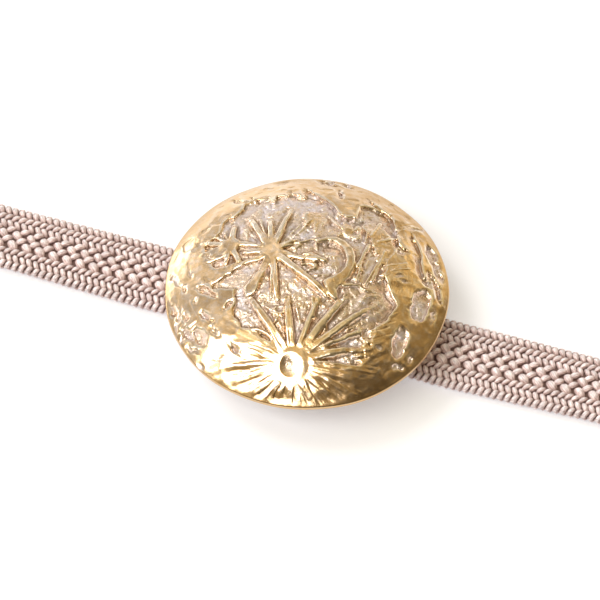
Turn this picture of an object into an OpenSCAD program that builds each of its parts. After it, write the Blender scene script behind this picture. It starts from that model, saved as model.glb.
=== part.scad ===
// Obidome: a domed moon medallion, cast hollow, worn on a flat braided sash cord.
// The cord runs along X, the surface it lies on is z = 0, and the moon's face looks up.
// Sizes are millimetres.

/* [Medallion] */
// Diameter of the medallion at its widest line
medallion_d = 36; // [32:1:42]
// Height of the dome above the widest line
dome_h = 6.6; // [5.6:0.2:7.6]
// Height of the widest line above the surface
rim_z = 6.55; // [6.55:0.05:8]
// Thickness of the cast wall
wall_t = 1.8; // [1.6:0.1:2.2]
// Height of the plain band round the edge, below the widest line
edge_band_h = 0.5; // [0.3:0.1:0.8]
// Drop from the widest line to the flat back face
back_drop = 1.0; // [1:0.1:1.2]
// Inward slope of the edge, from the plain band to the back face
edge_slope = 0.5; // [0.3:0.1:0.8]
// Width of the flat back face
back_face_w = 1.6; // [1.4:0.1:2]
// Turn of the moon's north away from straight across the cord, in degrees
moon_turn = 17.75; // [0:0.25:30]

/* [Relief] */
// Depth of the rough ground below the polished land
ground_depth = 0.55; // [0.3:0.05:0.7]
// Width of the slope between ground and land
shore_w = 0.5; // [0.4:0.05:0.7]
// Least half width of a cast ridge
ridge_min = 0.24; // [0.2:0.02:0.3]
// Height of the mottling on the rough ground
mottle_h = 0.1; // [0:0.02:0.16]

/* [Flat cord] */
// Width of the braid
braid_w = 9.5; // [9:0.1:10]
// Thickness of the braid
braid_t = 2.1; // [1.8:0.1:2.1]

/* [Back fitting] */
// Length of the plate across the hollow back
plate_l = 34; // [32.6:0.1:34.4]
// Width of the plate
plate_w = 8; // [6:0.5:10]
// Thickness of the plate
plate_t = 1.0; // [0.8:0.1:1]
// Distance of each cord loop from the middle
loop_x = 9; // [8:0.5:9]
// Width of a loop's strip, along the cord
loop_w = 2; // [1.5:0.1:2.4]
// Thickness of a loop's side posts
post_t = 1.2; // [0.8:0.1:1.6]
// Thickness of a loop's bar under the cord
bar_t = 0.8; // [0.6:0.1:0.8]
// Room beside the cord in a loop
side_room = 0.4; // [0.2:0.1:0.8]

/* [Hidden] */

// The tables below chart the relief on a disc of this radius, seen from above.
// u runs to the right and v to the moon's north, both from the middle of the disc.
chart_r = 18;
chart_scale = medallion_d / 2 / chart_r;

// Craters with bright rays: u, v, radius of the smooth platform
STARS = [
    [-4.45, 2.20, 1.55],
    [-9.75, 4.35, 1.05],
    [-1.80, -13.40, 2.10],
];

// Rays: star, bearing, length, half width at the star, half width at the tip, lift at the tip
RAYS = [
    [0, 113, 7.2, 0.40, 0.22, 1.0],
    [0, 104, 6.2, 0.24, 0.10, 0.8],
    [0, 92, 5.7, 0.32, 0.20, 1.0],
    [0, 72, 7.8, 0.36, 0.16, 1.0],
    [0, 29, 3.6, 0.34, 0.12, 0.9],
    [0, 18, 3.3, 0.22, 0.08, 0.7],
    [0, -44, 9.7, 0.44, 0.22, 1.0],
    [0, -84, 7.3, 0.42, 0.16, 0.9],
    [0, 173, 3.9, 0.34, 0.14, 0.9],
    [1, 82, 3.9, 0.36, 0.20, 1.0],
    [1, 115, 3.6, 0.26, 0.08, 0.9],
    [1, 132, 3.0, 0.24, 0.08, 0.9],
    [1, 162, 3.3, 0.26, 0.10, 0.9],
    [1, 197, 2.8, 0.26, 0.10, 0.8],
    [1, 257, 3.5, 0.34, 0.16, 0.9],
    [1, 291, 3.7, 0.36, 0.18, 0.9],
    [2, 119, 10.6, 0.50, 0.26, 1.0],
    [2, 114, 9.2, 0.26, 0.14, 0.8],
    [2, 96, 8.6, 0.48, 0.24, 0.95],
    [2, 74, 8.8, 0.32, 0.14, 0.7],
    [2, 56, 9.2, 0.38, 0.18, 0.8],
    [2, 39, 14.6, 0.44, 0.22, 0.75],
    [2, 32, 12.4, 0.26, 0.14, 0.7],
    [2, 17, 8.2, 0.52, 0.20, 0.9],
    [2, 5, 11.0, 0.30, 0.16, 0.9],
    [2, -9, 8.6, 0.44, 0.22, 0.9],
    [2, -22, 7.6, 0.34, 0.18, 0.9],
    [2, -40, 5.2, 0.38, 0.22, 0.9],
    [2, -66, 4.0, 0.42, 0.26, 0.9],
    [2, -96, 3.9, 0.38, 0.22, 0.9],
    [2, 228, 4.8, 0.36, 0.20, 0.9],
    [2, 203, 7.2, 0.38, 0.18, 0.9],
    [2, 190, 8.6, 0.26, 0.12, 0.8],
    [2, 177, 9.0, 0.30, 0.12, 0.9],
    [2, 160, 6.4, 0.38, 0.18, 0.95],
];

// Shore of the land round the limb: bearing, radius where the land begins
SHORE = [
    [-180, 13.0], [-170, 12.2], [-166, 10.5], [-162, 9.3], [-157, 10.4], [-151, 11.4],
    [-142, 11.8], [-136, 12.0], [-131, 11.1], [-127, 12.6], [-122, 14.8], [-112, 16.4],
    [-96, 17.0], [-80, 17.0], [-68, 16.2], [-60, 14.8], [-54, 12.6], [-43, 11.4],
    [-33, 12.1], [-22, 11.9], [-15, 10.5], [-4, 9.4], [8, 10.2], [20, 11.8],
    [28, 13.2], [36, 13.6], [44, 15.1], [52, 14.4], [58, 13.6], [64, 9.9],
    [70, 10.6], [78, 11.9], [88, 13.0], [100, 13.4], [111, 13.9], [122, 14.6],
    [130, 13.6], [140, 13.6], [150, 13.0], [158, 13.7], [166, 12.8], [180, 13.0],
];

// Lands inside the shore: lift, then u, v and half width along the middle of each
LANDS = [
    // north
    [1.00, [[5.2, 13.0, 1.5], [5.5, 10.8, 1.15], [5.5, 9.4, 1.0]]],
    [1.00, [[-8.7, 12.4, 0.8], [-8.8, 11.2, 0.75], [-9.3, 10.0, 0.5]]],
    [1.00, [[-6.5, 14.0, 0.5], [-6.5, 12.7, 0.3]]],
    [1.00, [[-4.4, 14.0, 0.8], [-4.4, 12.1, 0.35]]],
    [1.00, [[-2.5, 14.2, 0.6], [-2.4, 13.2, 0.3]]],
    [0.90, [[2.2, 12.6, 0.5], [2.9, 11.7, 0.3]]],
    [0.80, [[-12.3, 7.9, 0.9], [-11.6, 9.4, 0.8], [-10.6, 10.2, 0.4]]],
    // between the north shore and the middle
    [0.75, [[5.2, 7.5, 0.7], [5.2, 5.9, 0.8], [6.3, 5.0, 0.5], [6.6, 6.8, 0.5]]],
    [0.80, [[2.9, 8.5, 0.22], [3.7, 7.4, 0.28], [4.3, 6.6, 0.25]]],
    [0.50, [[0.6, 8.4, 1.0], [2.0, 8.6, 0.9], [1.4, 6.2, 0.5]]],
    [0.60, [[8.4, 7.2, 1.2], [9.6, 5.2, 1.7], [10.2, 2.5, 1.5]]],
    // middle
    [0.90, [[-0.9, 3.9, 0.12], [0.6, 4.15, 0.14], [2.0, 3.8, 0.2]]],
    [0.90, [[-3.2, 1.9, 0.4], [-1.8, 1.35, 0.26], [-0.5, 1.0, 0.22], [0.9, 0.9, 0.3], [2.2, 0.6, 0.42]]],
    [0.60, [[-0.6, 0.0, 0.14], [0.3, 0.05, 0.12], [1.3, -0.25, 0.16], [1.0, -0.8, 0.14], [0.1, -0.95, 0.12]]],
    [0.50, [[0.0, -1.25, 0.12], [1.2, -1.95, 0.15], [2.6, -1.6, 0.15]]],
    [1.00, [[3.0, -2.9, 0.75], [3.2, -4.0, 0.6], [3.6, -4.8, 0.3]]],
    [0.80, [[4.6, -2.6, 0.4], [5.5, -2.7, 0.25], [7.2, -3.0, 0.15]]],
    // west
    [1.00, [[-4.9, 0.9, 0.6], [-5.7, -0.8, 0.5], [-6.3, -2.2, 0.62], [-7.0, -3.1, 0.95]]],
    [0.90, [[-5.4, 1.4, 0.4], [-8.0, 0.75, 0.28], [-9.5, -0.2, 0.32], [-12.0, -1.4, 0.25]]],
    [0.95, [[-5.7, 3.3, 0.35], [-7.2, 3.6, 0.22], [-9.0, 4.3, 0.35]]],
    [0.90, [[-9.6, -0.6, 0.9], [-11.2, -0.3, 1.1], [-12.2, 1.2, 0.9]]],
];

// Curved wall east of the middle: bearing from its centre, radius, half width
WALL_CENTRE = [2.9, 0.55];
WALL_LIFT = 0.95;
WALL = [
    [137, 2.6, 0.16], [112, 3.25, 0.26], [84, 3.5, 0.32], [62, 3.55, 0.36], [40, 3.35, 0.38],
    [13, 3.05, 0.40], [-18, 3.05, 0.40], [-45, 3.3, 0.42], [-67, 3.4, 0.50], [-85, 3.75, 0.55],
];

// Straight ridges: u and v at one end, u and v at the other end, half width, lift
RIDGES = [
    [6.3, -2.0, 6.9, 1.0, 0.16, 0.70],
    [6.4, 0.2, 7.9, 3.9, 0.26, 0.80],
    [7.4, -2.4, 8.8, 0.9, 0.18, 0.80],
    [8.2, -1.8, 9.9, 3.3, 0.24, 0.80],
    [9.3, -1.4, 11.6, 1.2, 0.20, 1.10],
    [10.2, 0.9, 12.6, 2.1, 0.22, 1.15],
    [9.0, 4.6, 11.4, 6.2, 0.25, 0.90],
    [8.2, 5.6, 9.4, 8.4, 0.25, 0.85],
    [-5.6, -5.5, -3.6, -6.9, 0.14, 0.50],
    [-4.3, -8.2, -2.7, -6.4, 0.14, 0.50],
    [0.7, -5.0, 0.9, -7.6, 0.20, 0.70],
    [2.9, -6.2, 2.1, -9.6, 0.20, 0.70],
];

// Pits: u, v, half length, half width, bearing of the length, depth
PITS = [
    [11.55, -9.40, 1.95, 0.72, 68, 0.50],
    [11.20, -12.35, 0.95, 0.60, 38, 0.40],
    [-13.50, -8.30, 0.95, 0.55, -55, 0.40],
    [-13.35, -11.70, 0.50, 0.30, -60, 0.30],
    [-14.00, -3.00, 0.36, 0.24, 90, 0.30],
    [-12.50, -2.50, 1.35, 0.36, -48, 0.45],
    [-12.40, -5.80, 1.30, 0.45, -52, 0.20],
    [-9.00, -10.90, 1.15, 0.30, -45, 0.35],
    [-16.60, 1.20, 1.20, 0.25, -68, 0.35],
    [-11.70, 1.60, 0.45, 0.40, 0, 0.40],
    [-15.20, -5.30, 1.00, 0.40, -40, 0.35],
    [-15.50, -7.55, 0.85, 0.24, 42, 0.40],
    [4.40, 13.40, 0.80, 0.30, 90, 0.45],
    [5.60, 8.35, 0.50, 0.42, 0, 0.50],
    [3.10, 16.80, 0.70, 0.40, 90, 0.30],
    [11.90, 3.80, 0.45, 0.35, 0, 0.35],
    [13.60, 4.20, 2.40, 0.45, 95, 0.40],
    [15.75, 4.90, 2.10, 0.65, 95, 0.50],
    [15.60, 0.10, 0.80, 0.50, 30, 0.40],
    [14.10, -3.70, 2.10, 0.85, 84, 0.50],
    [14.00, 9.30, 1.35, 0.28, 30, 0.35],
    [4.20, -4.20, 0.80, 0.24, 95, 0.35],
];

// Rimmed oval: u, v, half length, half width, bearing, half width of its rim, lift
OVAL = [-5.85, -9.95, 1.75, 0.95, -35, 0.24, 0.90];

// Rayed crater's bowl: u, v, radius of the lip, depth, height of the lip
BOWL = [-1.80, -13.40, 1.42, 0.75, 0.20];

// Route of the cord: x, z of its middle. It lies flat, and rises over the loops' bars.
ROUTE = [
    [-47, 1.05], [-44, 1.05], [-40, 1.05], [-36, 1.05], [-32, 1.05], [-28, 1.05], [-24, 1.05],
    [-20, 1.05], [-16.5, 1.05], [-15, 1.15], [-13.5, 1.45], [-12, 1.75], [-10.5, 1.9], [-6, 1.9],
    [0, 1.9],
    [6, 1.9], [10.5, 1.9], [12, 1.75], [13.5, 1.45], [15, 1.15], [16.5, 1.05], [20, 1.05],
    [24, 1.05], [28, 1.05], [32, 1.05], [36, 1.05], [40, 1.05], [44, 1.05],
];
// Corners round the braid's section, and how square its sides are
braid_sides = 16;
braid_power = 0.62;
// How far the sealed ends draw in
end_taper = 0.86;

medallion_r = medallion_d / 2;
back_z = rim_z - back_drop;
dome_r = (pow(medallion_r, 2) + pow(dome_h, 2)) / (2 * dome_h);
dome_centre_z = rim_z + dome_h - dome_r;
mouth_r = medallion_r - edge_slope - back_face_w;
inner_dome_r = dome_r - wall_t;
// The relief fades out over this width inside the widest line
fade_w = 0.9;
// Waviness of the cast outline
outline_wave = 0.05;
// Spread of the bowl's lip, and the share of its radius that its wall takes
lip_spread = 0.45;
bowl_wall = 0.55;
// How far a shore wanders from its chart
wander_w = 0.16;
// How far the mottling is smoothed away on polished land
land_polish = 0.7;
// Rings of the front and of the hollow
front_rings = 36;
hollow_rings = 14;

seat_gap = 0.05;
plate_top = back_z - seat_gap;
plate_bottom = plate_top - plate_t;
loop_inner_w = braid_w + 2 * side_room;
loop_corner_r = 0.6;
plate_end_r = plate_l / 2;

function wave(x) = sin(x * 180 / PI);
function clamp01(t) = min(1, max(0, t));
function smooth01(t) = let (c = clamp01(t)) c * c * (3 - 2 * c);
function mix(a, b, t) = a + (b - a) * t;
function unit(bearing) = [cos(bearing), sin(bearing)];

// 1 inside the half width w, falling to 0 across the shore
function inside(d, w) = smooth01((w + shore_w / 2 - d) / shore_w);

// Distance from p to the line from a to b, and how far along it the nearest point is
function to_line(p, a, b) =
    let (ab = b - a, t = clamp01((p - a) * ab / (ab * ab)))
    [norm(p - a - t * ab), t];

// Lift of a ridge whose ends are [u, v, half width] and whose lift changes from l0 to l1
function ridge(p, a, b, l0, l1) =
    let (n = to_line(p, [a[0], a[1]], [b[0], b[1]]))
    mix(l0, l1, n[1]) * inside(n[0], max(ridge_min, mix(a[2], b[2], n[1])));

function chain(p, lift, pts) =
    max([for (i = [0 : len(pts) - 2]) ridge(p, pts[i], pts[i + 1], lift, lift)]);

// Distance outside an oval, roughly, in the direction of its half width
function oval(p, o) =
    let (q = p - [o[0], o[1]], along = q * unit(o[4]), across = q * unit(o[4] + 90))
    (norm([along / o[2], across / o[3]]) - 1) * o[3];

// Shores wander a little, as a modelled shore does
function wander(p) = [
    p[0] + wander_w * wave(2.1 * p[1] + 1.3 * wave(1.7 * p[0])),
    p[1] + wander_w * wave(2.3 * p[0] + 1.1 * wave(1.9 * p[1])),
];

function ray_lift(p, ray) =
    let (s = STARS[ray[0]], c = [s[0], s[1]], tip = c + ray[2] * unit(ray[1]))
    ridge(p, [c[0], c[1], ray[3]], [tip[0], tip[1], ray[4]], 1, ray[5]);

WALL_LINE = [for (w = WALL) let (q = WALL_CENTRE + w[1] * unit(w[0])) [q[0], q[1], w[2]]];

// 1 on the polished land and the ridges, 0 on the rough ground
function land(p) =
    let (q = wander(p), shore_r = lookup(atan2(q[1], q[0]), SHORE))
    max([
        inside(shore_r - norm(q), 0),
        for (l = LANDS) chain(q, l[0], l[1]),
        chain(q, WALL_LIFT, WALL_LINE),
        for (r = RAYS) ray_lift(p, r),
        for (s = STARS) inside(norm(p - [s[0], s[1]]), s[2]),
        for (r = RIDGES) ridge(p, [r[0], r[1], r[4]], [r[2], r[3], r[4]], r[5], r[5]),
        OVAL[6] * inside(abs(oval(p, OVAL)), OVAL[5]),
    ]);

function pit_depth(p) = max([for (o = PITS) o[5] * inside(oval(p, o), 0)]);

function bowl(p) =
    let (d = norm(p - [BOWL[0], BOWL[1]]), lip = BOWL[4] * exp(-pow((d - BOWL[2]) / lip_spread, 2)))
    lip - (BOWL[3] + BOWL[4]) * smooth01((BOWL[2] - d) / (bowl_wall * BOWL[2]));

function mottle(p) =
    wave(2.9 * p[0] + 1.7 * wave(2.2 * p[1] + 0.4)) * wave(3.3 * p[1] + 1.9 * wave(1.8 * p[0] + 1.1));

function relief(p) =
    let (l = land(p), fade = smooth01((chart_r - norm(p)) / fade_w),
        rough = mottle_h * mottle(p) * (1 - land_polish * clamp01(l)))
    fade * (rough - ground_depth * (1 - l) - pit_depth(p) + bowl(p));

// Height of a plain dome of radius r about the dome's centre
function dome_z(r, d) = dome_centre_z + sqrt(max(0, r * r - d * d));

function outline_r(angle) =
    medallion_r + outline_wave * (sin(5 * angle + 40) + 0.6 * sin(11 * angle + 120));

// Points in a ring of the front or the hollow
function ring_count(k) = max(1, 6 * k);

FRONT = [
    for (k = [0 : front_rings], i = [0 : ring_count(k) - 1])
        let (angle = 360 * i / ring_count(k), share = k / front_rings,
            d = share * outline_r(angle), p = d * unit(angle),
            z = k == front_rings ? rim_z : dome_z(dome_r, share * medallion_r) + relief(p / chart_scale))
        [p[0], p[1], z],
];

// Rings below the widest line, from the edge to the middle of the hollow: count, inset, radius, height
UNDER = [
    [ring_count(front_rings), 0, medallion_r, rim_z - edge_band_h],
    [ring_count(front_rings), edge_slope, medallion_r, back_z],
    [ring_count(hollow_rings), 0, mouth_r, back_z],
    for (k = [hollow_rings : -1 : 0])
        let (d = mouth_r * k / hollow_rings)
        [ring_count(k), 0, d, dome_z(inner_dome_r, d)],
];
UNDER_POINTS = [
    for (ring = UNDER, i = [0 : ring[0] - 1])
        let (angle = 360 * i / ring[0],
            d = ring[2] == medallion_r ? outline_r(angle) - ring[1] : ring[2])
        [d * cos(angle), d * sin(angle), ring[3]],
];
RING_SIZES = [for (k = [0 : front_rings]) ring_count(k), for (ring = UNDER) ring[0]];
function running(sizes) = [
    for (i = 0, total = 0; i < len(sizes); total = total + sizes[i], i = i + 1) total,
];
RING_STARTS = running(RING_SIZES);

// Triangles between ring a, which has at least as many points, and ring b
function stitch(a, b, under) =
    let (na = RING_SIZES[a], nb = RING_SIZES[b], sa = RING_STARTS[a], sb = RING_STARTS[b],
        near = [for (i = [0 : na]) floor((i + 0.5) * nb / na) % nb])
    [
        for (i = [0 : na - 1])
            let (j = near[i], tri = [sa + (i + 1) % na, sa + i, sb + j])
            under ? [tri[1], tri[0], tri[2]] : tri,
        for (i = [0 : na - 1])
            let (j = near[i], before = near[(i + na - 1) % na])
            if (j != before && nb > 1)
                let (tri = [sb + before, sb + j, sa + i])
                under ? [tri[1], tri[0], tri[2]] : tri,
    ];

MEDALLION_FACES = [
    for (k = [1 : front_rings]) each stitch(k, k - 1, false),
    for (k = [front_rings : len(RING_SIZES) - 2]) each stitch(k, k + 1, true),
];

// Rounded rectangle, centred
module round_rect(w, h, r) {
    square([w - 2 * r, h], center = true);
    square([w, h - 2 * r], center = true);
    for (x = [-1, 1], y = [-1, 1])
        translate([x * (w / 2 - r), y * (h / 2 - r)]) circle(r, $fn = 48);
}

// One loop for the cord, standing across it
module cord_loop(x) {
    outer_w = loop_inner_w + 2 * post_t;
    inner_h = plate_bottom - bar_t;
    translate([x - loop_w / 2, 0, 0])
        rotate([90, 0, 90])
            linear_extrude(loop_w)
                difference() {
                    translate([0, plate_top / 2]) round_rect(outer_w, plate_top, loop_corner_r);
                    translate([0, bar_t + inner_h / 2]) round_rect(loop_inner_w, inner_h, loop_corner_r);
                }
}

// Section of the braid: y and z of each corner, on unit half sizes
function squarish(c) = sign(c) * pow(abs(c), braid_power);
SECTION = [
    for (i = [0 : braid_sides - 1])
        let (angle = 360 * i / braid_sides)
        [squarish(cos(angle)), squarish(sin(angle))],
];

module medallion() {
    color([0.85, 0.66, 0.38])
        rotate([0, 0, moon_turn])
            polyhedron(points = concat(FRONT, UNDER_POINTS), faces = MEDALLION_FACES, convexity = 6);
}

module back_fitting() {
    color([0.78, 0.68, 0.5]) {
        intersection() {
            translate([-plate_l / 2, -plate_w / 2, plate_bottom]) cube([plate_l, plate_w, plate_t]);
            translate([0, 0, plate_bottom]) cylinder(h = plate_t, r = plate_end_r, $fn = 96);
        }
        for (x = [-loop_x, loop_x]) cord_loop(x);
    }
}

module flat_cord() {
    last = len(ROUTE) - 1;
    points = [
        for (i = [0 : last], s = SECTION)
            let (k = i == 0 || i == last ? end_taper : 1)
            [ROUTE[i][0], k * s[0] * braid_w / 2, ROUTE[i][1] + k * s[1] * braid_t / 2],
    ];
    sides = [
        for (i = [0 : last - 1], j = [0 : braid_sides - 1])
            let (a = i * braid_sides + j, b = i * braid_sides + (j + 1) % braid_sides)
            each [[a, b, b + braid_sides], [a, b + braid_sides, a + braid_sides]],
    ];
    first_end = [for (j = [braid_sides - 1 : -1 : 0]) j];
    last_end = [for (j = [0 : braid_sides - 1]) last * braid_sides + j];
    color([0.85, 0.74, 0.71])
        polyhedron(points = points, faces = concat(sides, [first_end, last_end]), convexity = 4);
}

medallion();
back_fitting();
flat_cord();
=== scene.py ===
# %% [markdown]
# This lesson dresses the solid model of an obidome, the ornament worn at the middle of an obi.
# It is a domed moon cast in metal and gilded, and it rides on an obijime, the flat silk cord
# that holds the sash. The solid model has every part at its real size, but the cord is a plain
# bar and the moon has only its larger forms. The model is loaded first and never changed. New
# pieces are built over it in metres, in its own frame: the cord runs along X, the table is
# z = 0, and the moon looks up.

import math

import bpy
import numpy as np
from mathutils import Matrix, Vector


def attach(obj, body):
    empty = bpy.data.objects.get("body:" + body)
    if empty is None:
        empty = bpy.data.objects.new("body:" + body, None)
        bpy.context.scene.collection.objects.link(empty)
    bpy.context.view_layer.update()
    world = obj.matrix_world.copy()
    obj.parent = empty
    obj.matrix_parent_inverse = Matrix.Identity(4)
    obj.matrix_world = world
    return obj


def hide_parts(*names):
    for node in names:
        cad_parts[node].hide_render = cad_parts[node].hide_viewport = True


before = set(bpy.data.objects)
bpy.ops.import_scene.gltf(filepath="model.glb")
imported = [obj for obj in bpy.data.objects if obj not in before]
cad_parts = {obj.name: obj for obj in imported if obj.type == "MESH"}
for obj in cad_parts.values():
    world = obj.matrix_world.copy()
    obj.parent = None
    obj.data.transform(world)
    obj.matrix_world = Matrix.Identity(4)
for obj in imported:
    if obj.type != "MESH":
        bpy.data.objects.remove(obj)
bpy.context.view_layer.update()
MM = 0.001
print("solids:", ", ".join(sorted(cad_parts)))

# %% [markdown]
# The photograph looks down at about 54 degrees, from a little to the right, so the cord runs
# down to the right across the picture. A long lens far away keeps the two sides of the cord
# nearly parallel. The camera is placed by its turn, its height and its distance, rather than by
# hand, so that it can be checked against the outline of the medallion.

# %% Camera
CAMERA_TURN = 17.75
CAMERA_HEIGHT = 53.84
CAMERA_DISTANCE = 456.8 * MM
AIM_HEIGHT = 6.0 * MM
AIM_SHIFT = (-0.85 * MM, -0.834 * MM)
LENS = 216.0

turn = math.radians(CAMERA_TURN)
height = math.radians(CAMERA_HEIGHT)
to_camera = np.array(
    [math.sin(turn) * math.cos(height), -math.cos(turn) * math.cos(height), math.sin(height)]
)
picture_right = np.array([math.cos(turn), math.sin(turn), 0.0])
picture_up = np.cross(to_camera, picture_right)
aim = np.array([0, 0, AIM_HEIGHT]) + picture_right * AIM_SHIFT[0] + picture_up * AIM_SHIFT[1]


def room_direction(right, away, up):
    """A direction given from where the photographer stands, as a direction in the model's frame."""
    flat = picture_right * right + np.array([-math.sin(turn), math.cos(turn), 0]) * away
    return flat + np.array([0, 0, up])


def add_object(name, data):
    """A new object that holds data, in the scene."""
    obj = bpy.data.objects.new(name, data)
    bpy.context.scene.collection.objects.link(obj)
    return obj


def aimed(obj, place, target):
    """Puts obj at place, looking at target along its own -Z."""
    obj.location = Vector(place)
    obj.rotation_mode = "QUATERNION"
    look = Vector(target) - Vector(place)
    obj.rotation_quaternion = look.to_track_quat("-Z", "Y")


camera = add_object("camera", bpy.data.cameras.new("camera"))
camera.data.sensor_fit = "HORIZONTAL"
camera.data.sensor_width = 36.0
camera.data.lens = LENS
camera.data.clip_start = 0.01
aimed(camera, aim + to_camera * CAMERA_DISTANCE, aim)
bpy.context.scene.camera = camera
print("camera at", np.round(aim + to_camera * CAMERA_DISTANCE, 4))

# %% [markdown]
# The obijime is a flat braid about 9.5 mm wide and 2.1 mm thick. Under the medallion it rises
# over the bars of the two loops that hold it. Every strand is placed by how far along the cord
# it is and how far round the cord's section, so two small maps are needed first: one from a
# length along the cord to a place on its route, and one from a length round the section to a
# place and an outward direction on it.

# %% The cord's route
ROUTE = [
    (-0.047, 0.00105), (-0.044, 0.00105), (-0.040, 0.00105), (-0.036, 0.00105),
    (-0.032, 0.00105), (-0.028, 0.00105), (-0.024, 0.00105), (-0.020, 0.00105),
    (-0.0165, 0.00105), (-0.015, 0.00115), (-0.0135, 0.00145), (-0.012, 0.00175),
    (-0.0105, 0.0019), (-0.006, 0.0019), (0.0, 0.0019), (0.006, 0.0019),
    (0.0105, 0.0019), (0.012, 0.00175), (0.0135, 0.00145), (0.015, 0.00115),
    (0.0165, 0.00105), (0.020, 0.00105), (0.024, 0.00105), (0.028, 0.00105),
    (0.032, 0.00105), (0.036, 0.00105), (0.040, 0.00105), (0.044, 0.00105),
]
CORD_WIDTH = 9.5
CORD_THICKNESS = 2.1
LEFT_END = -47
RIGHT_END = 44
SQUARENESS = 0.62
# The medallion pushes the braid wide up to x = 21 on both sides, and less and less up to x = 38
PUSHED_TO = 21
FREE_FROM = 38
PUSHED_WIDER = 0.07
# How far the free braid lies away from the middle, and how far the pushed braid comes back
FREE_SHIFT = 0.19
PUSHED_SHIFT = 0.30
route_x = np.array([p[0] for p in ROUTE]) / MM
route_z = np.array([p[1] for p in ROUTE]) / MM


def on_route(x):
    """Height of the cord's middle and its slope at x, in mm, with the route's corners rounded."""
    steps = np.linspace(-1.2, 1.2, 9)
    z = np.mean([np.interp(x + s, route_x, route_z) for s in steps], axis=0)
    ahead = np.mean([np.interp(x + s + 0.1, route_x, route_z) for s in steps], axis=0)
    return z, (ahead - z) / 0.1


def section(inset_y, inset_h, samples=4000):
    """A closed line inside the braid's section, from the middle of its top.

    It gives lengths round the line, then y and height there, then the outward direction.
    """
    t = np.linspace(0, 2 * np.pi, samples + 1)
    y = (CORD_WIDTH / 2 - inset_y) * np.sign(np.sin(t)) * np.abs(np.sin(t)) ** SQUARENESS
    h = (CORD_THICKNESS / 2 - inset_h) * np.sign(np.cos(t)) * np.abs(np.cos(t)) ** SQUARENESS
    length = np.concatenate([[0], np.cumsum(np.hypot(np.diff(y), np.diff(h)))])
    even = np.linspace(0, length[-1], samples + 1)
    y = np.interp(even, length, y)
    h = np.interp(even, length, h)
    dy = np.gradient(y)
    dh = np.gradient(h)
    size = np.hypot(dy, dh)
    return even, y, h, -dh / size, dy / size


def on_section(line, at, out=0):
    """y and height of a point at a length round a section's line, and out mm outside it."""
    y, h, out_y, out_h = [np.interp(at, line[0], values) for values in line[1:]]
    return y + out * out_y, h + out * out_h


def end_squeeze(x):
    """How far the braid draws in towards its two bound ends."""
    left = np.clip((x - LEFT_END) / 3.2, 0, 1)
    right = np.clip((RIGHT_END - x) / 3.2, 0, 1)
    return 0.86 + 0.14 * np.minimum(left, right) ** 0.7


def spread(x):
    """How far the braid is pushed wide by the medallion: 1 beside it, 0 towards the free ends."""
    return np.clip((FREE_FROM - np.abs(x)) / (FREE_FROM - PUSHED_TO), 0, 1)


def cord_points(x, y, h):
    """Points of the cord in metres, from x along it, y across it and h above its middle, in mm."""
    z, slope = on_route(x)
    size = np.sqrt(1 + slope**2)
    squeeze = end_squeeze(x)
    h = h * squeeze
    y = y * squeeze * (1 + PUSHED_WIDER * spread(x)) + FREE_SHIFT - PUSHED_SHIFT * spread(x)
    return np.stack([x - h * slope / size, y, z + h / size], -1) * MM


# %% [markdown]
# A braid looks like rows of slanted grains. Each grain is a float, a short stretch of strand
# between two crossings, full in the middle and dipping under its neighbours at both ends. The
# rows by the two edges are close herringbone, and the four in the middle are basket work, with
# plump grains of which only every second one shows. A grain is made once as numbers and copied
# to every place with numpy, because a thousand separate objects would be slow.


# %% One grain of the braid
def grain_shape(rings, sides):
    """Points of a grain on unit half sizes, along, across and outward, and its triangles."""
    along = -np.cos(np.linspace(0, np.pi, rings + 2))[1:-1]
    fullness = np.clip(1 - np.abs(along) ** 2.1, 0, 1) ** 0.62
    angle = np.arange(sides) * 2 * np.pi / sides
    a = np.concatenate([[-1], np.repeat(along, sides), [1]])
    c = np.concatenate([[0], np.outer(fullness, np.cos(angle)).ravel(), [0]])
    d = np.concatenate([[0], np.outer(fullness, np.sin(angle)).ravel(), [0]])
    faces = []
    last = rings * sides + 1
    for j in range(sides):
        k = (j + 1) % sides
        faces.append([0, 1 + k, 1 + j])
        faces.append([last, last - sides + j, last - sides + k])
        for r in range(rings - 1):
            p = 1 + r * sides
            faces.append([p + j, p + k, p + sides + j])
            faces.append([p + k, p + sides + k, p + sides + j])
    return a, c, d, np.array(faces)


grain = grain_shape(7, 7)
plain_grain = grain_shape(5, 5)
print(f"a grain has {len(grain[3])} triangles, or {len(plain_grain[3])} where it is hardly seen")


# %% Rows and columns of the braid
def rows(text):
    """A table written as text: a list of numbers for each line."""
    return [[float(x) for x in line.split()] for line in text.strip().splitlines()]


# Length of one column of grains on each side: towards the free end and beside the medallion
PITCHES = {-1: (0.945, 0.905), 1: (0.910, 0.890)}
# Columns between x = -20 and x = 20, where the braid is hidden
HIDDEN_COLUMNS = 44.83

reach = np.linspace(20, 47, 2701)
counts = {}
for side, (free, pushed) in PITCHES.items():
    pitch = free + (pushed - free) * spread(reach)
    counts[side] = np.concatenate([[0], np.cumsum(np.diff(reach) / pitch[1:])])
column_x = np.concatenate([-reach[::-1], reach])
column_count = np.concatenate([-counts[-1][::-1], HIDDEN_COLUMNS + counts[1]])

# y across, lean, length, width, thickness, first column, and 1 where only each second one shows
ROWS = rows("""
3.78 -50 1.42 .76 .78 .15 0
2.7 46 1.46 .7 .76 .72 0
1.73 -50 1.46 .72 .76 .25 0
.85 38 1.62 .92 .84 1.71 1
.12 -42 1.56 1.12 1.06 .91 1
-.66 40 1.66 .92 .86 1.73 1
-1.48 -40 1.8 1.22 1.08 .84 1
-2.46 44 1.4 .68 .74 .55 0
-3.46 -54 1.46 .72 .8 .05 0
-4.24 48 1.22 .66 .78 .31 0
""")
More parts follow.
